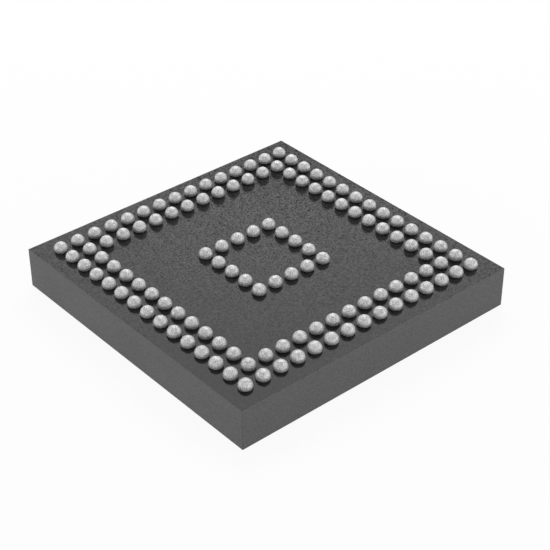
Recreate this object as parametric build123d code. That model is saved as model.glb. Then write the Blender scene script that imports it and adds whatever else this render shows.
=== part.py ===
"""Microcontroller in a moulded ball grid package, lying on its mould face with its solder balls up.

Millimetres. The origin is the middle of the mould face, +Z points out of the ball side, +X runs along
the rows from column 1 to column 15, and +Y runs across them from row A to row R.
"""
from math import cos, pi, radians, sin
import os

from build123d import *

# Body
BODY_LENGTH = 8.15  # along X
BODY_WIDTH = 8.15  # along Y
MOULD_THICKNESS = 0.81  # from the outer face to the laminate
CORE_THICKNESS = 0.20
MASK_THICKNESS = 0.03  # solder resist, the same on both faces of the core

# Index dimple in the outer face, by the corner of ball A1
DIMPLE_DIAMETER = 0.70
DIMPLE_DEPTH = 0.06
DIMPLE_INSET = 1.0  # from each of the two edges to its middle

# Ball grid
BALL_PITCH = 0.5
ROW_LETTERS = "ABCDEFGHJKLMNPR"  # I, O and Q are skipped, as is usual
COLUMNS = 15
FULL_RINGS = 2  # outer rings of the grid that are full
INNER_RING = 5  # the ring of the grid that is full again, counted from the outermost as 0
BALL_DIAMETER = 0.345
BALL_CENTRE_RISE = 0.06  # of a ball's centre over the ball face
BALL_SIDES = 8
SHOULDER_ANGLE = 48  # latitude of a ball's upper ring of corners, degrees
LAND_DIAMETER = 0.30
LAND_SIDES = 6

# Die and its attach film
DIE_LENGTH = 4.2  # along X
DIE_WIDTH = 4.0  # along Y
DIE_THICKNESS = 0.25
ATTACH_THICKNESS = 0.03
ATTACH_MARGIN = 0.06  # squeezed out round the die

# Bond fingers, each row in a window of the die side mask
FINGERS_PER_SIDE = 10
FINGER_PITCH = 0.48
FINGER_WIDTH = 0.12
FINGER_LENGTH = 0.32
FINGER_THICKNESS = 0.015
FINGER_DISTANCE = 1.0  # from the die's edge to the middle of a finger
WINDOW_MARGIN = 0.10  # of bare core round a row of fingers

# Bond wires
WIRE_WIDTH = 0.025
PAD_PITCH = 0.36
PAD_INSET = 0.09  # from the die's edge to the middle of a pad
LOOP_HEIGHT = 0.15  # of a wire over the die's face
WIRE_OVERRUN = 0.05  # drawn past the finger's face, then cut off flush with it

# Levels, from the outer face up
mask_level = MOULD_THICKNESS
core_level = mask_level + MASK_THICKNESS
core_top = core_level + CORE_THICKNESS
ball_face = core_top + MASK_THICKNESS
die_top = mask_level - ATTACH_THICKNESS
die_face = die_top - DIE_THICKNESS
finger_face = core_level - FINGER_THICKNESS

LOW_MIDDLE = (Align.CENTER, Align.CENTER, Align.MIN)


def plate(length, width, thickness, level):
    """A rectangular plate centred on the Z axis, with its lower face at the level."""
    return Pos(0, 0, level) * Box(length, width, thickness, align=LOW_MIDDLE)


def ball_places():
    """(row letter, x, y) of each ball, row by row."""
    places = []
    last = COLUMNS - 1
    for row, letter in enumerate(ROW_LETTERS):
        for column in range(COLUMNS):
            ring = min(row, column, last - row, last - column)
            if ring < FULL_RINGS or ring == INNER_RING:
                x = (column - last / 2) * BALL_PITCH
                y = (row - last / 2) * BALL_PITCH
                places.append((letter, x, y))
    return places


def ball():
    """A solder ball, soldered flat on its land, as rings of corners with the tip on top.

    The corners stand out far enough for each ring to enclose as much as the round ball's section.
    """
    radius = BALL_DIAMETER / 2
    shoulder = radians(SHOULDER_ANGLE)
    foot_radius = (radius**2 - BALL_CENTRE_RISE**2) ** 0.5
    turn = 2 * pi / BALL_SIDES
    spread = (turn / sin(turn)) ** 0.5
    rings = [
        (foot_radius, 0),
        (radius, BALL_CENTRE_RISE),
        (radius * cos(shoulder), BALL_CENTRE_RISE + radius * sin(shoulder)),
    ]
    corners = [(0, 0, BALL_CENTRE_RISE + radius)]
    for ring, (ring_radius, height) in enumerate(rings):
        for side in range(BALL_SIDES):
            angle = (side + ring / 2) * turn
            reach = ring_radius * spread
            corners.append((reach * cos(angle), reach * sin(angle), height))
    return ConvexPolyhedron(corners)


def solder_balls():
    """{row letter: its balls}, all standing on the ball face."""
    one = ball()
    rows = {letter: [] for letter in ROW_LETTERS}
    for letter, x, y in ball_places():
        rows[letter].append(Pos(x, y, ball_face) * one)
    return rows


def ball_lands():
    """The copper lands, inlaid in the ball side mask and level with it."""
    land = extrude(RegularPolygon(LAND_DIAMETER / 2, LAND_SIDES), MASK_THICKNESS)
    return [Pos(x, y, core_top) * land for _, x, y in ball_places()]


def ball_side_mask(lands):
    """Solder resist on the ball side, open where the lands are."""
    return plate(BODY_LENGTH, BODY_WIDTH, MASK_THICKNESS, core_top) - lands


def sides():
    """(name, location, half the die across that side, half the body) of the die's four sides.

    At each location +X points away from the die.
    """
    return [
        ("right", Rot(0, 0, 0), DIE_LENGTH / 2),
        ("back", Rot(0, 0, 90), DIE_WIDTH / 2),
        ("left", Rot(0, 0, 180), DIE_LENGTH / 2),
        ("front", Rot(0, 0, 270), DIE_WIDTH / 2),
    ]


def along_side(pitch):
    """The places of a side's pads or fingers along it."""
    return [(i - (FINGERS_PER_SIDE - 1) / 2) * pitch for i in range(FINGERS_PER_SIDE)]


def bond_fingers():
    """The copper fingers round the die, flat on the core."""
    finger = Box(FINGER_LENGTH, FINGER_WIDTH, FINGER_THICKNESS, align=LOW_MIDDLE)
    fingers = []
    for _, turned, edge in sides():
        for y in along_side(FINGER_PITCH):
            fingers.append(turned * Pos(edge + FINGER_DISTANCE, y, finger_face) * finger)
    return fingers


def die_side_mask():
    """Solder resist on the die side, with a window over each row of fingers."""
    mask = plate(BODY_LENGTH, BODY_WIDTH, MASK_THICKNESS, mask_level)
    row_length = (FINGERS_PER_SIDE - 1) * FINGER_PITCH + FINGER_WIDTH
    window = Box(
        FINGER_LENGTH + 2 * WINDOW_MARGIN,
        row_length + 2 * WINDOW_MARGIN,
        MASK_THICKNESS,
        align=LOW_MIDDLE,
    )
    for _, turned, edge in sides():
        mask -= turned * Pos(edge + FINGER_DISTANCE, 0, mask_level) * window
    return mask


def bond_wire(pad, finger):
    """One wire: straight off its pad to the top of the loop, then down to the finger."""
    loop = Vector(pad.X, pad.Y, pad.Z - LOOP_HEIGHT)
    run = (finger - loop).normalized()
    path = Polyline(pad, loop, finger + run * WIRE_OVERRUN)
    start = Plane(origin=pad, x_dir=(run.X, run.Y, 0), z_dir=(0, 0, -1))
    section = start * Rectangle(WIRE_WIDTH, WIRE_WIDTH)
    wire = sweep(section, path=path, transition=Transition.RIGHT)
    return split(wire, bisect_by=Plane.XY.offset(finger.Z), keep=Keep.BOTTOM)


def bond_wires():
    """{side: its wires}, fanned out from the die's pads to the fingers."""
    wires = {}
    for name, turned, edge in sides():
        wires[name] = []
        for pad_y, finger_y in zip(along_side(PAD_PITCH), along_side(FINGER_PITCH)):
            pad = Vector(edge - PAD_INSET, pad_y, die_face)
            finger = Vector(edge + FINGER_DISTANCE, finger_y, finger_face)
            wires[name].append(turned * bond_wire(pad, finger))
    return wires


def mould_cap(inside):
    """The black compound, moulded round all that stands on the laminate."""
    cap = plate(BODY_LENGTH, BODY_WIDTH, core_level, 0)
    dimple = Cylinder(DIMPLE_DIAMETER / 2, DIMPLE_DEPTH, align=LOW_MIDDLE)
    x = DIMPLE_INSET - BODY_LENGTH / 2
    y = DIMPLE_INSET - BODY_WIDTH / 2
    return cap - inside - Pos(x, y, 0) * dimple


def save(name, solids):
    """Write one named piece, or one group of like pieces."""
    shape = solids[0] if len(solids) == 1 else Compound(children=solids)
    export_step(shape, f"parts/{name}.step")


def main():
    os.makedirs("parts", exist_ok=True)

    core = plate(BODY_LENGTH, BODY_WIDTH, CORE_THICKNESS, core_level)
    lands = ball_lands()
    fingers = bond_fingers()
    mask = die_side_mask()
    die = plate(DIE_LENGTH, DIE_WIDTH, DIE_THICKNESS, die_face)
    film = plate(DIE_LENGTH + 2 * ATTACH_MARGIN, DIE_WIDTH + 2 * ATTACH_MARGIN, ATTACH_THICKNESS, die_top)
    wires = bond_wires()
    inside = [mask, die, film] + fingers + [wire for side in wires.values() for wire in side]

    save("mould_cap", [mould_cap(inside)])
    save("die", [die])
    save("die_attach_film", [film])
    save("die_side_mask", [mask])
    save("bond_fingers", fingers)
    save("substrate_core", [core])
    save("ball_lands", lands)
    save("ball_side_mask", [ball_side_mask(lands)])
    for name, side in wires.items():
        save(f"bond_wires_{name}", side)
    for letter, row in solder_balls().items():
        save(f"solder_balls_row_{letter}", row)


main()
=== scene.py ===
"""Looks of the ball grid microcontroller: smooth solder balls, eased edges, finishes and a white studio."""
import math

import bmesh
import bpy
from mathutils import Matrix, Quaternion, Vector


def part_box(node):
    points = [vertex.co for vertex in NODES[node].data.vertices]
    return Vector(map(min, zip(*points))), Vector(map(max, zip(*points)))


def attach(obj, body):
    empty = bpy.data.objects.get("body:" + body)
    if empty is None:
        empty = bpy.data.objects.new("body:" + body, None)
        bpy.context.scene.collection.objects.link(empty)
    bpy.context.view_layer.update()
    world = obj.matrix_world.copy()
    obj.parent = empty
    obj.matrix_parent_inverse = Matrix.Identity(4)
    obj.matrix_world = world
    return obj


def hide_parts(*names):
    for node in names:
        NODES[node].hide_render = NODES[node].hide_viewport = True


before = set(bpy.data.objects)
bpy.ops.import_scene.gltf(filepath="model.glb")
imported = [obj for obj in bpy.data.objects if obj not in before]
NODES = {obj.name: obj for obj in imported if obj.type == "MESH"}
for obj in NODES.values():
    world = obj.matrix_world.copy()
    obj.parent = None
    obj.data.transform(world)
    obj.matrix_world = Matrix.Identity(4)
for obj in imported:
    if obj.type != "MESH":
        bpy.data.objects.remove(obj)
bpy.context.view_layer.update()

bl_info = {
    "name": "Ball Grid Microcontroller Finish",
    "version": (1, 0, 0),
    "blender": (4, 5, 0),
    "location": "3D View > Sidebar > Microcontroller",
    "description": "Finishes a ball grid microcontroller round its fixed model",
    "category": "Object",
}

BODY = "root"
MICRON = 1e-6
MILLIMETRE = 1e-3

BALL_ROWS = sorted(name for name in NODES if name.startswith("solder_balls_row_"))
BOND_WIRES = sorted(name for name in NODES if name.startswith("bond_wires_"))
BODY_LOW, BODY_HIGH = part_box("mould_cap")
BALL_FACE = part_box("ball_side_mask")[1].z
BALL_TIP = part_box(BALL_ROWS[0])[1].z

# Tests on the fixed model and on finished meshes
SAME_PLACE = 1 * MICRON  # places closer than this are one
LEVEL_FACE = 0.95  # a face whose normal is at least this upright is level
WALL_RIM = 20 * MICRON  # the faces of a wall and its rims have their middles this near to it
BALL_FOOT = -0.98  # faces of a ball whose normals point further down than this are its flat foot

# Floor
FLOOR_GAP = 2 * MICRON  # from the floor up to the mould face
FLOOR_LAP = 0.1 * MILLIMETRE  # how far the floor reaches in under the part

# Lamps: turns from the camera's azimuth, and distances and sizes in metres
FRONT_LAMP = {"distance": 0.09, "wide": 0.18, "high": 0.036}
FRONT_LAMP_TURN = math.radians(20)
SIDE_LAMP = {"distance": 0.3, "wide": 0.3, "high": 0.16}
SIDE_LAMP_TURN = math.radians(90)
SOFT_BOX = {"distance": 0.1105, "wide": 0.092, "high": 0.0958}
SOFT_BOX_TURN = math.pi
SOFT_BOX_FACING = math.radians(61.5)
SOFT_BOX_SPREAD = math.radians(90)


# Property groups

class BallSettings(bpy.types.PropertyGroup):
    """Form and finish of the solder balls."""

    diameter: bpy.props.FloatProperty(
        name="Diameter",
        description="Diameter of a ball above its foot",
        default=0.345 * MILLIMETRE,
        precision=6,
        subtype="DISTANCE",
        unit="LENGTH",
    )
    segments: bpy.props.IntProperty(
        name="Segments",
        description="Faces round a ball",
        default=24,
        min=8,
        max=40,
    )
    rings: bpy.props.IntProperty(
        name="Rings",
        description="Faces from pole to pole of a ball before its foot is flattened",
        default=12,
        min=6,
        max=24,
    )
    colour: bpy.props.FloatVectorProperty(
        name="Solder",
        description="Colour of the clean solder",
        default=(0.70, 0.70, 0.70),
        size=3,
        subtype="COLOR",
    )
    dull_colour: bpy.props.FloatVectorProperty(
        name="Dull solder",
        description="Colour of the greyer grains",
        default=(0.29, 0.29, 0.295),
        size=3,
        subtype="COLOR",
    )
    roughness: bpy.props.FloatProperty(
        name="Roughness",
        description="Mean roughness of the solder",
        default=0.42,
        min=0,
        max=1,
        subtype="FACTOR",
    )
    grain: bpy.props.FloatProperty(
        name="Grain",
        description="Size of the solder's grains",
        default=22 * MICRON,
        precision=6,
        subtype="DISTANCE",
        unit="LENGTH",
    )


class BodySettings(bpy.types.PropertyGroup):
    """Finish of the moulded and laminated body."""

    mould_colour: bpy.props.FloatVectorProperty(
        name="Mould",
        description="Colour of the epoxy compound",
        default=(0.057, 0.057, 0.057),
        size=3,
        subtype="COLOR",
    )
    resist_colour: bpy.props.FloatVectorProperty(
        name="Solder resist",
        description="Colour of the black solder resist",
        default=(0.017, 0.017, 0.017),
        size=3,
        subtype="COLOR",
    )
    laminate_colour: bpy.props.FloatVectorProperty(
        name="Laminate",
        description="Colour of the laminate's sawn edge",
        default=(0.057, 0.057, 0.057),
        size=3,
        subtype="COLOR",
    )
    resist_grain: bpy.props.FloatProperty(
        name="Resist grain",
        description="Size of the fine grain of the solder resist",
        default=32 * MICRON,
        precision=6,
        subtype="DISTANCE",
        unit="LENGTH",
    )
    mould_grain: bpy.props.FloatProperty(
        name="Mould grain",
        description="Size of the fine grain of the compound",
        default=40 * MICRON,
        precision=6,
        subtype="DISTANCE",
        unit="LENGTH",
    )
    warp_radius: bpy.props.FloatProperty(
        name="Warp radius",
        description="Radius of the faint dome that the ball face has warped to",
        default=60 * MILLIMETRE,
        precision=4,
        subtype="DISTANCE",
        unit="LENGTH",
    )
    warp_centre: bpy.props.FloatVectorProperty(
        name="Warp centre",
        description="Highest place of the dome, across X and Y",
        default=(0.8 * MILLIMETRE, -0.7 * MILLIMETRE),
        size=2,
        precision=6,
        subtype="XYZ_LENGTH",
        unit="LENGTH",
    )
    edge: bpy.props.FloatProperty(
        name="Edge",
        description="Width of the worn bevel along the sawn edges",
        default=12 * MICRON,
        precision=6,
        subtype="DISTANCE",
        unit="LENGTH",
    )


class StageSettings(bpy.types.PropertyGroup):
    """Floor, light and camera."""

    aim: bpy.props.FloatVectorProperty(
        name="Aim",
        description="Point of the ball face in the middle of the picture, across X and Y",
        default=(0.699 * MILLIMETRE, -0.255 * MILLIMETRE),
        size=2,
        precision=6,
        subtype="XYZ_LENGTH",
        unit="LENGTH",
    )
    distance: bpy.props.FloatProperty(
        name="Distance",
        description="From the camera to the aim",
        default=36.02 * MILLIMETRE,
        precision=5,
        subtype="DISTANCE",
        unit="LENGTH",
    )
    azimuth: bpy.props.FloatProperty(
        name="Azimuth",
        description="Turn of the camera from the row A side towards the column 15 side",
        default=math.radians(49.4),
        subtype="ANGLE",
        unit="ROTATION",
    )
    elevation: bpy.props.FloatProperty(
        name="Elevation",
        description="Height angle of the camera over the ball face",
        default=math.radians(34.67),
        subtype="ANGLE",
        unit="ROTATION",
    )
    roll: bpy.props.FloatProperty(
        name="Roll",
        description="Turn of the camera about its own line of sight",
        default=math.radians(-0.167),
        subtype="ANGLE",
        unit="ROTATION",
    )
    lens: bpy.props.FloatProperty(
        name="Lens",
        description="Focal length on a 36 mm sensor, in millimetres",
        default=99.35,
        min=20,
        max=300,
    )
    floor_size: bpy.props.FloatProperty(
        name="Floor",
        description="Side of the square floor",
        default=2.0,
        subtype="DISTANCE",
        unit="LENGTH",
    )
    floor_lift: bpy.props.FloatProperty(
        name="Floor lift",
        description="Share of pure white in what the camera and mirrors see of the floor",
        default=0.92,
        min=0,
        max=0.95,
        subtype="FACTOR",
    )
    sky: bpy.props.FloatProperty(
        name="Sky",
        description="Strength of the white surround as light",
        default=0.36,
        min=0,
        max=2,
    )
    front_level: bpy.props.FloatProperty(
        name="Front lamp",
        description="Light of the lamp behind the camera, as a share of plain white light",
        default=0.45,
        min=0,
        max=2,
    )
    front_height: bpy.props.FloatProperty(
        name="Front lamp height",
        description="Height angle of the front lamp",
        default=math.radians(5),
        subtype="ANGLE",
        unit="ROTATION",
    )
    side_level: bpy.props.FloatProperty(
        name="Side lamps",
        description="Light of each of the two lamps beside the part, as a share of plain white light",
        default=0.35,
        min=0,
        max=2,
    )
    side_height: bpy.props.FloatProperty(
        name="Side lamp height",
        description="Height angle of the side lamps",
        default=math.radians(12),
        subtype="ANGLE",
        unit="ROTATION",
    )
    back_level: bpy.props.FloatProperty(
        name="Soft box",
        description="Light of the soft box behind the part, as a share of plain white light",
        default=0.26,
        min=0,
        max=2,
    )
    back_height: bpy.props.FloatProperty(
        name="Soft box height",
        description="Height angle of the soft box",
        default=math.radians(36.3),
        subtype="ANGLE",
        unit="ROTATION",
    )


# Helpers for meshes

def link_mesh(name, mesh):
    """A new object in the scene that shows the mesh."""
    piece = bpy.data.objects.new(name, mesh)
    bpy.context.scene.collection.objects.link(piece)
    return piece


def bake_modifiers(piece):
    """Turn what the modifiers make into the piece's own plain mesh."""
    depsgraph = bpy.context.evaluated_depsgraph_get()
    mesh = bpy.data.meshes.new_from_object(piece.evaluated_get(depsgraph))
    mesh.name = piece.name
    piece.modifiers.clear()
    piece.data = mesh


def dress(piece, material):
    """Give a piece one material all over."""
    slots = piece.data.materials
    if len(slots) == 0:
        slots.append(material)
    for index in range(len(slots)):
        slots[index] = material


def finish_piece(piece, node):
    """Hand a finished piece over to the frame, in place of a fixed node."""
    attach(piece, BODY)
    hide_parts(node)


# Helpers for node trees

def add_node(tree, kind, **values):
    """A new node of the kind, with its own settings by name."""
    node = tree.nodes.new(kind)
    for name, value in values.items():
        setattr(node, name, value)
    return node


def calculate(tree, operation, first, second):
    """Arithmetic on two values, each a number or an output."""
    node = add_node(tree, "ShaderNodeMath", operation=operation)
    for socket, value in zip(node.inputs, (first, second)):
        if isinstance(value, (int, float)):
            socket.default_value = value
        else:
            tree.links.new(value, socket)
    return node.outputs["Value"]


def separate(tree, vector):
    """The X, Y and Z of a vector, as outputs by name."""
    node = add_node(tree, "ShaderNodeSeparateXYZ")
    tree.links.new(vector, node.inputs["Vector"])
    return node.outputs


# Helpers for materials

def new_material(name):
    """(material, node tree, its shader) with a fresh principled shader."""
    material = bpy.data.materials.new(name)
    material.use_nodes = True
    tree = material.node_tree
    tree.nodes.clear()
    output = add_node(tree, "ShaderNodeOutputMaterial")
    shader = add_node(tree, "ShaderNodeBsdfPrincipled")
    tree.links.new(shader.outputs["BSDF"], output.inputs["Surface"])
    return material, tree, shader


def object_point(tree, stretch=(1, 1, 1)):
    """The place on the piece, stretched along its axes."""
    coordinate = add_node(tree, "ShaderNodeTexCoord")
    mapping = add_node(tree, "ShaderNodeMapping")
    mapping.inputs["Scale"].default_value = stretch
    tree.links.new(coordinate.outputs["Object"], mapping.inputs["Vector"])
    return mapping.outputs["Vector"]


def noise(tree, point, size, detail=2.0, rough=0.5):
    """Noise whose lumps are about as large as the size, in metres. It mostly stays from 0.3 to 0.7."""
    node = add_node(tree, "ShaderNodeTexNoise")
    node.inputs["Scale"].default_value = 1 / size
    node.inputs["Detail"].default_value = detail
    node.inputs["Roughness"].default_value = rough
    tree.links.new(point, node.inputs["Vector"])
    return node.outputs["Fac"]


def remap(tree, value, low, high, start=0.3, end=0.7):
    """The value, spread from the range of start to end, at first that of noise, to that of low to high."""
    node = add_node(tree, "ShaderNodeMapRange")
    node.inputs["From Min"].default_value = start
    node.inputs["From Max"].default_value = end
    node.inputs["To Min"].default_value = low
    node.inputs["To Max"].default_value = high
    tree.links.new(value, node.inputs["Value"])
    return node.outputs["Result"]


def bump(tree, height, depth, normal=None):
    """Normal that follows a height, where 1 is as high as the depth in metres, over another normal."""
    node = add_node(tree, "ShaderNodeBump")
    node.inputs["Strength"].default_value = 1
    node.inputs["Distance"].default_value = depth
    tree.links.new(height, node.inputs["Height"])
    if normal is not None:
        tree.links.new(normal, node.inputs["Normal"])
    return node.outputs["Normal"]


def tint(colour, factor):
    """The colour made lighter or darker."""
    return tuple(min(1.0, channel * factor) for channel in colour)


def mix_colours(tree, shader, value, first, second):
    """Base colour from the first to the second as the value goes from 0 to 1."""
    node = add_node(tree, "ShaderNodeMix", data_type="RGBA")
    inputs = {socket.identifier: socket for socket in node.inputs}
    outputs = {socket.identifier: socket for socket in node.outputs}
    inputs["A_Color"].default_value = (*first, 1)
    inputs["B_Color"].default_value = (*second, 1)
    tree.links.new(value, inputs["Factor_Float"])
    tree.links.new(outputs["Result_Color"], shader.inputs["Base Color"])


def vary_roughness(tree, shader, value, low, high):
    """Roughness from low to high with a noise."""
    tree.links.new(remap(tree, value, low, high), shader.inputs["Roughness"])


def grain_towards_row_r(tree, point, grain):
    """Specular level about 0.5, whose grain gets stronger from the row A corner to the row R corner."""
    place = separate(tree, point)
    across = calculate(tree, "SUBTRACT", place["Y"], place["X"])
    reach = 7 * MILLIMETRE
    strength = remap(tree, across, 0.03, 0.8, start=-reach, end=reach)
    lumps = remap(tree, grain, -1, 1)
    return calculate(tree, "ADD", calculate(tree, "MULTIPLY", lumps, strength), 0.5)


def warp(tree, point, centre, radius):
    """Normal of a face that has warped, as laminates do, to a faint dome of the radius."""
    place = separate(tree, point)
    squares = []
    for axis, middle in zip("XY", centre):
        away = calculate(tree, "SUBTRACT", place[axis], middle)
        squares.append(calculate(tree, "MULTIPLY", away, away))
    height = calculate(tree, "MULTIPLY", calculate(tree, "ADD", *squares), -0.5 / radius)
    return bump(tree, height, depth=1)


def direct_sight(tree):
    """1 on rays from the camera, and on those that a mirror or glass turned."""
    path = add_node(tree, "ShaderNodeLightPath")
    seen = calculate(tree, "MAXIMUM", path.outputs["Is Camera Ray"], path.outputs["Is Glossy Ray"])
    return calculate(tree, "MAXIMUM", seen, path.outputs["Is Transmission Ray"])


# Materials

def solder_material(settings):
    """Dull, grainy tin solder."""
    material, tree, shader = new_material("grainy_solder")
    point = object_point(tree)
    grain = noise(tree, point, settings.grain, rough=0.6)
    patches = noise(tree, point, 0.16 * MILLIMETRE, detail=1)
    spots = remap(tree, grain, 0, 1, start=0.38, end=0.62)
    mix_colours(tree, shader, spots, settings.dull_colour, settings.colour)
    vary_roughness(tree, shader, patches, settings.roughness - 0.08, settings.roughness + 0.08)
    tree.links.new(bump(tree, grain, depth=9 * MICRON), shader.inputs["Normal"])
    shader.inputs["IOR"].default_value = 1.7
    shader.inputs["Metallic"].default_value = 0.45
    return material


def resist_material(settings):
    """Glossy black solder resist, with a fine grain that breaks up what it mirrors."""
    material, tree, shader = new_material("black_solder_resist")
    point = object_point(tree)
    dome = warp(tree, point, settings.warp_centre, settings.warp_radius)
    grain = noise(tree, point, settings.resist_grain)
    cloud = noise(tree, point, 1.4 * MILLIMETRE)
    dark = tint(settings.resist_colour, 0.6)
    light = tint(settings.resist_colour, 1.4)
    mix_colours(tree, shader, remap(tree, grain, 0, 1), dark, light)
    vary_roughness(tree, shader, cloud, 0.03, 0.05)
    tree.links.new(grain_towards_row_r(tree, point, grain), shader.inputs["Specular IOR Level"])
    tree.links.new(bump(tree, grain, depth=2 * MICRON, normal=dome), shader.inputs["Normal"])
    shader.inputs["IOR"].default_value = 1.217
    return material


def mould_material(settings):
    """Epoxy compound with the fine even grain of its tool and of the saw."""
    material, tree, shader = new_material("mould_compound")
    point = object_point(tree)
    grain = noise(tree, point, settings.mould_grain, detail=3)
    cloud = noise(tree, point, 1.2 * MILLIMETRE)
    dark = tint(settings.mould_colour, 0.5)
    light = tint(settings.mould_colour, 1.6)
    mix_colours(tree, shader, remap(tree, grain, 0, 1), dark, light)
    vary_roughness(tree, shader, cloud, 0.42, 0.5)
    tree.links.new(bump(tree, grain, depth=2 * MICRON), shader.inputs["Normal"])
    shader.inputs["IOR"].default_value = 1.5
    return material


def laminate_material(settings):
    """Sawn laminate, with the faint lines of its glass cloth along the edge."""
    material, tree, shader = new_material("sawn_laminate")
    point = object_point(tree, stretch=(1, 1, 6))
    grain = noise(tree, point, 0.09 * MILLIMETRE, detail=3)
    dark = tint(settings.laminate_colour, 0.5)
    light = tint(settings.laminate_colour, 1.6)
    mix_colours(tree, shader, remap(tree, grain, 0, 1), dark, light)
    vary_roughness(tree, shader, grain, 0.42, 0.5)
    tree.links.new(bump(tree, grain, depth=1 * MICRON), shader.inputs["Normal"])
    shader.inputs["IOR"].default_value = 1.5
    return material


def gold_material(name, colour, rough):
    """Gold, plated or drawn, with a fine grain."""
    material, tree, shader = new_material(name)
    grain = noise(tree, object_point(tree), 30 * MICRON)
    mix_colours(tree, shader, remap(tree, grain, 0, 1), tint(colour, 0.85), colour)
    vary_roughness(tree, shader, grain, rough - 0.05, rough + 0.05)
    shader.inputs["Metallic"].default_value = 1
    return material


def silicon_material():
    """Polished silicon with a faint cloud of colour."""
    material, tree, shader = new_material("silicon")
    cloud = noise(tree, object_point(tree), 0.8 * MILLIMETRE)
    mix_colours(tree, shader, remap(tree, cloud, 0, 1), (0.20, 0.21, 0.25), (0.28, 0.29, 0.32))
    vary_roughness(tree, shader, cloud, 0.12, 0.2)
    shader.inputs["Metallic"].default_value = 0.8
    return material


def film_material():
    """Cured adhesive film."""
    material, tree, shader = new_material("attach_film")
    grain = noise(tree, object_point(tree), 60 * MICRON)
    mix_colours(tree, shader, remap(tree, grain, 0, 1), (0.52, 0.46, 0.30), (0.60, 0.54, 0.36))
    vary_roughness(tree, shader, grain, 0.5, 0.6)
    return material


def floor_material(lift):
    """White paper floor, lifted towards pure white by a share so that only a soft shadow is left."""
    material, tree, shader = new_material("white_floor")
    shader.inputs["Base Color"].default_value = (0.96, 0.96, 0.96, 1)
    shader.inputs["Roughness"].default_value = 1
    shader.inputs["Specular IOR Level"].default_value = 0
    white = add_node(tree, "ShaderNodeEmission")
    white.inputs["Strength"].default_value = 1
    share = calculate(tree, "MULTIPLY", direct_sight(tree), lift)
    mix = add_node(tree, "ShaderNodeMixShader")
    tree.links.new(share, mix.inputs["Fac"])
    tree.links.new(shader.outputs["BSDF"], mix.inputs[1])
    tree.links.new(white.outputs["Emission"], mix.inputs[2])
    output = next(node for node in tree.nodes if node.bl_idname == "ShaderNodeOutputMaterial")
    tree.links.new(mix.outputs["Shader"], output.inputs["Surface"])
    return material


# Geometry Nodes

def footed_ball(tree, sizes):
    """A ball round the origin, flattened below at the height of the ball face."""
    link = tree.links.new
    ball = add_node(tree, "GeometryNodeMeshUVSphere")
    link(sizes["Segments"], ball.inputs["Segments"])
    link(sizes["Rings"], ball.inputs["Rings"])
    link(calculate(tree, "MULTIPLY", sizes["Diameter"], 0.5), ball.inputs["Radius"])

    place = separate(tree, add_node(tree, "GeometryNodeInputPosition").outputs["Position"])
    foot = calculate(tree, "MULTIPLY", sizes["Centre Rise"], -1)
    raised = add_node(tree, "ShaderNodeCombineXYZ")
    link(place["X"], raised.inputs["X"])
    link(place["Y"], raised.inputs["Y"])
    link(calculate(tree, "MAXIMUM", place["Z"], foot), raised.inputs["Z"])
    flatten = add_node(tree, "GeometryNodeSetPosition")
    link(ball.outputs["Mesh"], flatten.inputs["Geometry"])
    link(raised.outputs["Vector"], flatten.inputs["Position"])
    return flatten.outputs["Geometry"]


def turned_copies(tree, points, shape, seed):
    """A copy of the shape on each point, turned about Z by chance, so that no two show the same facets."""
    link = tree.links.new
    turn = add_node(tree, "FunctionNodeRandomValue", data_type="FLOAT_VECTOR")
    turn.inputs["Min"].default_value = (0, 0, 0)
    turn.inputs["Max"].default_value = (0, 0, 2 * math.pi)
    link(seed, turn.inputs["Seed"])
    scatter = add_node(tree, "GeometryNodeInstanceOnPoints")
    link(points, scatter.inputs["Points"])
    link(shape, scatter.inputs["Instance"])
    link(turn.outputs[0], scatter.inputs["Rotation"])
    real = add_node(tree, "GeometryNodeRealizeInstances")
    link(scatter.outputs["Instances"], real.inputs["Geometry"])
    return real.outputs["Geometry"]


def smooth_above_foot(tree, shape):
    """The shape with smooth shading on all but the flat foot."""
    link = tree.links.new
    normal = separate(tree, add_node(tree, "GeometryNodeInputNormal").outputs["Normal"])
    round_part = add_node(tree, "FunctionNodeCompare", data_type="FLOAT", operation="GREATER_THAN")
    round_part.inputs["B"].default_value = BALL_FOOT
    link(normal["Z"], round_part.inputs["A"])
    smooth = add_node(tree, "GeometryNodeSetShadeSmooth")
    link(shape, smooth.inputs["Geometry"])
    link(round_part.outputs["Result"], smooth.inputs["Shade Smooth"])
    return smooth.outputs["Geometry"]


def ball_row_tree():
    """Node group that puts a ball with a flat foot on each point of a row.

    Its input geometry holds one point for each ball's centre.
    """
    tree = bpy.data.node_groups.new("solder_ball_row", "GeometryNodeTree")
    for name, kind in (
        ("Centres", "NodeSocketGeometry"),
        ("Diameter", "NodeSocketFloat"),
        ("Centre Rise", "NodeSocketFloat"),
        ("Segments", "NodeSocketInt"),
        ("Rings", "NodeSocketInt"),
        ("Seed", "NodeSocketInt"),
        ("Material", "NodeSocketMaterial"),
    ):
        tree.interface.new_socket(name, in_out="INPUT", socket_type=kind)
    tree.interface.new_socket("Balls", in_out="OUTPUT", socket_type="NodeSocketGeometry")

    given = add_node(tree, "NodeGroupInput").outputs
    ball = footed_ball(tree, given)
    balls = turned_copies(tree, given["Centres"], ball, given["Seed"])
    paint = add_node(tree, "GeometryNodeSetMaterial")
    leave = add_node(tree, "NodeGroupOutput")
    tree.links.new(smooth_above_foot(tree, balls), paint.inputs["Geometry"])
    tree.links.new(given["Material"], paint.inputs["Material"])
    tree.links.new(paint.outputs["Geometry"], leave.inputs["Balls"])
    return tree


def add_tree(piece, tree, **values):
    """Put a node group on a piece, with its inputs set by name."""
    modifier = piece.modifiers.new(tree.name, "NODES")
    modifier.node_group = tree
    keys = {item.name: item.identifier for item in tree.interface.items_tree if item.in_out == "INPUT"}
    for name, value in values.items():
        modifier[keys[name.replace("_", " ")]] = value


# Pieces

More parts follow.
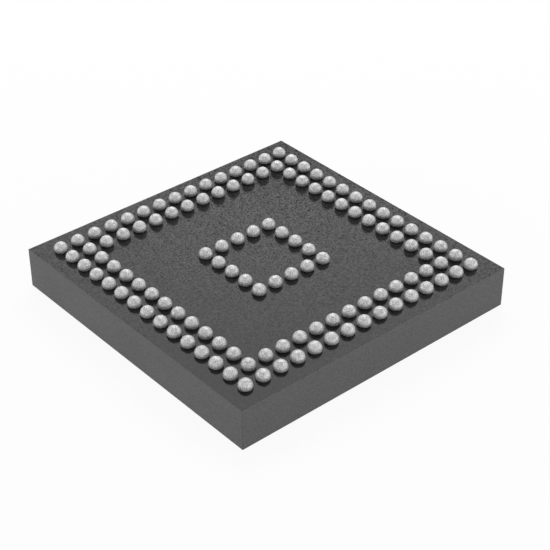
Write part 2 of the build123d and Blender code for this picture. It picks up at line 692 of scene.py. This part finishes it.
def ball_centres(node, height):
    """Centres of a row's balls, under the tips of its fixed solids."""
    tips = set()
    for vertex in NODES[node].data.vertices:
        if BALL_TIP - vertex.co.z < SAME_PLACE:
            tips.add((round(vertex.co.x, 7), round(vertex.co.y, 7)))
    return [(x, y, height) for x, y in sorted(tips)]


def build_ball_rows(settings):
    """One piece of smooth balls for each row of the grid."""
    tree = ball_row_tree()
    material = solder_material(settings)
    height = BALL_TIP - settings.diameter / 2
    corners_of_ball = settings.segments * (settings.rings - 1) + 2
    for seed, node in enumerate(BALL_ROWS):
        centres = ball_centres(node, height)
        mesh = bpy.data.meshes.new(node)
        mesh.from_pydata(centres, [], [])
        row = link_mesh("balls_row_" + node[-1], mesh)
        add_tree(
            row,
            tree,
            Diameter=settings.diameter,
            Centre_Rise=height - BALL_FACE,
            Segments=settings.segments,
            Rings=settings.rings,
            Seed=seed,
            Material=material,
        )
        bake_modifiers(row)
        if len(row.data.vertices) != len(centres) * corners_of_ball:
            raise RuntimeError(f"{node} hasn't its {len(centres)} whole balls")
        finish_piece(row, node)


def eased_copy(node, name, edge, outline):
    """A copy of a fixed node with its outer edges eased.

    The outline is a test of an edge's two corners that picks the edges to ease. The node's loose triangles
    are joined up first, so that each flat side is one face.
    """
    shape = bmesh.new()
    shape.from_mesh(NODES[node].data)
    bmesh.ops.remove_doubles(shape, verts=shape.verts, dist=0.1 * MICRON)
    bmesh.ops.dissolve_limit(
        shape,
        angle_limit=math.radians(0.5),
        verts=shape.verts,
        edges=shape.edges,
    )
    chosen = [e for e in shape.edges if outline(e.verts[0].co, e.verts[1].co)]
    bmesh.ops.bevel(shape, geom=chosen, offset=edge, segments=2, profile=0.5, affect="EDGES")
    bmesh.ops.triangulate(shape, faces=[f for f in shape.faces if len(f.verts) > 4])
    mesh = bpy.data.meshes.new(name)
    shape.to_mesh(mesh)
    shape.free()
    return link_mesh(name, mesh)


def paint_walls(piece, material):
    """Give the faces along the body's sawn walls, with their eased rims, a second material."""
    piece.data.materials.append(material)
    second = len(piece.data.materials) - 1
    for face in piece.data.polygons:
        to_wall = min(
            face.center.x - BODY_LOW.x,
            BODY_HIGH.x - face.center.x,
            face.center.y - BODY_LOW.y,
            BODY_HIGH.y - face.center.y,
        )
        if abs(face.normal.z) < LEVEL_FACE and to_wall < WALL_RIM:
            face.material_index = second


def body_edges(levels):
    """Test for the body's upright corner edges, and for its rims at the given levels."""

    def at_walls(point):
        """Whether a point is on a wall across X, and on one across Y."""
        across_x = min(abs(point.x - BODY_LOW.x), abs(point.x - BODY_HIGH.x)) < SAME_PLACE
        across_y = min(abs(point.y - BODY_LOW.y), abs(point.y - BODY_HIGH.y)) < SAME_PLACE
        return across_x, across_y

    def is_outer_edge(a, b):
        at_a, at_b = at_walls(a), at_walls(b)
        upright = abs(a.z - b.z) > SAME_PLACE and all(at_a) and all(at_b)
        same_wall = (at_a[0] and at_b[0]) or (at_a[1] and at_b[1])
        flat = abs(a.z - b.z) < SAME_PLACE
        at_level = any(abs(a.z - level) < SAME_PLACE for level in levels)
        rim = flat and at_level and same_wall and (a - b).length > MILLIMETRE
        return upright or rim

    return is_outer_edge


def build_body(settings):
    """Mould cap, laminate and solder resist with eased corners."""
    mould = mould_material(settings)
    resist = resist_material(settings)
    laminate = laminate_material(settings)
    for node, name, material, slot, levels in (
        ("mould_cap", "mould_body", mould, "mould_compound", [BODY_LOW.z]),
        ("die_side_mask", "inner_resist", resist, "solder_resist", []),
        ("substrate_core", "laminate_core", laminate, "laminate", []),
        ("ball_side_mask", "outer_resist", resist, "solder_resist", [BALL_FACE]),
    ):
        piece = eased_copy(node, name, settings.edge, body_edges(levels))
        dress(piece, material)
        if material is resist:
            paint_walls(piece, laminate)
        finish_piece(piece, node)


def finish_inside():
    """Materials of the sealed pieces, which keep their fixed shapes."""
    plated = gold_material("plated_copper", (0.90, 0.66, 0.30), rough=0.35)
    drawn = gold_material("drawn_gold", (0.95, 0.72, 0.34), rough=0.2)
    dress(NODES["ball_lands"], plated)
    dress(NODES["bond_fingers"], plated)
    for node in BOND_WIRES:
        dress(NODES[node], drawn)
    dress(NODES["die"], silicon_material())
    dress(NODES["die_attach_film"], film_material())


# Stage

def build_floor(settings):
    """A white floor, open under the mould face so that the face can be seen from below."""
    level = BODY_LOW.z - FLOOR_GAP
    corners = []
    for half in (settings.floor_size / 2, BODY_HIGH.x - FLOOR_LAP):
        for x, y in ((-half, -half), (half, -half), (half, half), (-half, half)):
            corners.append((x, y, level))
    sides = [(i, (i + 1) % 4, (i + 1) % 4 + 4, i + 4) for i in range(4)]
    mesh = bpy.data.meshes.new("floor")
    mesh.from_pydata(corners, [], sides)
    floor = link_mesh("floor", mesh)
    dress(floor, floor_material(settings.floor_lift))


def build_world(settings):
    """White surround: pure white to the eye and in reflections, and a soft light on the rest."""
    world = bpy.data.worlds.new("studio")
    world.use_nodes = True
    bpy.context.scene.world = world
    tree = world.node_tree
    tree.nodes.clear()
    output = add_node(tree, "ShaderNodeOutputWorld")
    mix = add_node(tree, "ShaderNodeMixShader")
    for socket, strength in ((mix.inputs[1], settings.sky), (mix.inputs[2], 1)):
        background = add_node(tree, "ShaderNodeBackground")
        background.inputs["Color"].default_value = (1, 1, 1, 1)
        background.inputs["Strength"].default_value = strength
        tree.links.new(background.outputs["Background"], socket)
    tree.links.new(direct_sight(tree), mix.inputs["Fac"])
    tree.links.new(mix.outputs["Shader"], output.inputs["Surface"])


def direction(azimuth, height):
    """Unit vector from the part to a place at the azimuth and height angle."""
    return Vector((
        math.sin(azimuth) * math.cos(height),
        -math.cos(azimuth) * math.cos(height),
        math.sin(height),
    ))


def build_lamp(name, azimuth, height, level, distance, wide, high, spread=math.pi, facing=None):
    """A soft rectangular lamp that faces the part, at a level where 1 is plain white light.

    It faces down by its own height angle, or by the facing angle. A spread under half a turn makes its
    light fade away from where it faces.
    """
    data = bpy.data.lights.new(name, "AREA")
    data.shape = "RECTANGLE"
    data.size = wide
    data.size_y = high
    data.energy = level * math.pi ** 2 * distance ** 2
    data.spread = spread
    lamp = bpy.data.objects.new(name, data)
    bpy.context.scene.collection.objects.link(lamp)
    lamp.location = direction(azimuth, height) * distance
    lamp.rotation_mode = "QUATERNION"
    axis = direction(azimuth, height if facing is None else facing)
    lamp.rotation_quaternion = (-axis).to_track_quat("-Z", "Y")


def build_lamps(settings):
    """A wide lamp low behind the camera, one on each side, and a soft box that the ball face mirrors."""
    front = settings.azimuth + FRONT_LAMP_TURN
    left = settings.azimuth - SIDE_LAMP_TURN
    right = settings.azimuth + SIDE_LAMP_TURN
    behind = settings.azimuth + SOFT_BOX_TURN
    build_lamp("front_lamp", front, settings.front_height, settings.front_level, **FRONT_LAMP)
    build_lamp("left_lamp", left, settings.side_height, settings.side_level, **SIDE_LAMP)
    build_lamp("right_lamp", right, settings.side_height, settings.side_level, **SIDE_LAMP)
    build_lamp(
        "soft_box",
        behind,
        settings.back_height,
        settings.back_level,
        spread=SOFT_BOX_SPREAD,
        facing=SOFT_BOX_FACING,
        **SOFT_BOX,
    )


def build_camera(settings):
    """The camera at the photograph's place."""
    data = bpy.data.cameras.new("camera")
    data.sensor_fit = "HORIZONTAL"
    data.sensor_width = 36
    data.lens = settings.lens
    data.clip_start = MILLIMETRE
    data.clip_end = 10
    camera = bpy.data.objects.new("camera", data)
    bpy.context.scene.collection.objects.link(camera)
    back = direction(settings.azimuth, settings.elevation)
    aim = Vector((settings.aim[0], settings.aim[1], BALL_FACE))
    camera.location = aim + back * settings.distance
    camera.rotation_mode = "QUATERNION"
    roll = Quaternion((0, 0, 1), settings.roll)
    camera.rotation_quaternion = (-back).to_track_quat("-Z", "Y") @ roll
    bpy.context.scene.camera = camera


# Operators

class BALLGRID_OT_solder_balls(bpy.types.Operator):
    """Replace the faceted balls of every row by smooth, grainy ones"""

    bl_idname = "ballgrid.solder_balls"
    bl_label = "Solder Balls"

    def execute(self, context):
        build_ball_rows(context.scene.ballgrid_balls)
        return {"FINISHED"}


class BALLGRID_OT_body(bpy.types.Operator):
    """Ease the body's corners and give mould, laminate and solder resist their finishes"""

    bl_idname = "ballgrid.body"
    bl_label = "Body"

    def execute(self, context):
        build_body(context.scene.ballgrid_body)
        return {"FINISHED"}


class BALLGRID_OT_inside(bpy.types.Operator):
    """Finish the die, its film, the wires, the fingers and the lands"""

    bl_idname = "ballgrid.inside"
    bl_label = "Sealed Pieces"

    def execute(self, context):
        finish_inside()
        return {"FINISHED"}


class BALLGRID_OT_stage(bpy.types.Operator):
    """Set up the white floor, the soft light and the camera"""

    bl_idname = "ballgrid.stage"
    bl_label = "Stage"

    def execute(self, context):
        settings = context.scene.ballgrid_stage
        build_floor(settings)
        build_world(settings)
        build_lamps(settings)
        build_camera(settings)
        context.scene.view_settings.view_transform = "Standard"
        return {"FINISHED"}


class BALLGRID_PT_panel(bpy.types.Panel):
    """Sizes, colours and steps of the finish"""

    bl_idname = "BALLGRID_PT_panel"
    bl_label = "Ball Grid Microcontroller"
    bl_space_type = "VIEW_3D"
    bl_region_type = "UI"
    bl_category = "Microcontroller"

    def draw(self, context):
        layout = self.layout
        scene = context.scene
        for settings, operators in (
            (scene.ballgrid_body, ("ballgrid.body", "ballgrid.inside")),
            (scene.ballgrid_balls, ("ballgrid.solder_balls",)),
            (scene.ballgrid_stage, ("ballgrid.stage",)),
        ):
            box = layout.box()
            for name in settings.__annotations__:
                box.prop(settings, name)
            for operator in operators:
                box.operator(operator)


CLASSES = (
    BallSettings,
    BodySettings,
    StageSettings,
    BALLGRID_OT_solder_balls,
    BALLGRID_OT_body,
    BALLGRID_OT_inside,
    BALLGRID_OT_stage,
    BALLGRID_PT_panel,
)


def register():
    """Register the classes and hang the settings on the scene."""
    for cls in CLASSES:
        bpy.utils.register_class(cls)
    bpy.types.Scene.ballgrid_balls = bpy.props.PointerProperty(type=BallSettings)
    bpy.types.Scene.ballgrid_body = bpy.props.PointerProperty(type=BodySettings)
    bpy.types.Scene.ballgrid_stage = bpy.props.PointerProperty(type=StageSettings)


def unregister():
    """Undo what register did."""
    del bpy.types.Scene.ballgrid_stage
    del bpy.types.Scene.ballgrid_body
    del bpy.types.Scene.ballgrid_balls
    for cls in reversed(CLASSES):
        bpy.utils.unregister_class(cls)


def main():
    """Build the pieces and the stage round the fixed model, in order."""
    register()
    bpy.ops.ballgrid.body()
    bpy.ops.ballgrid.inside()
    bpy.ops.ballgrid.solder_balls()
    bpy.ops.ballgrid.stage()


if __name__ == "__main__":
    main()
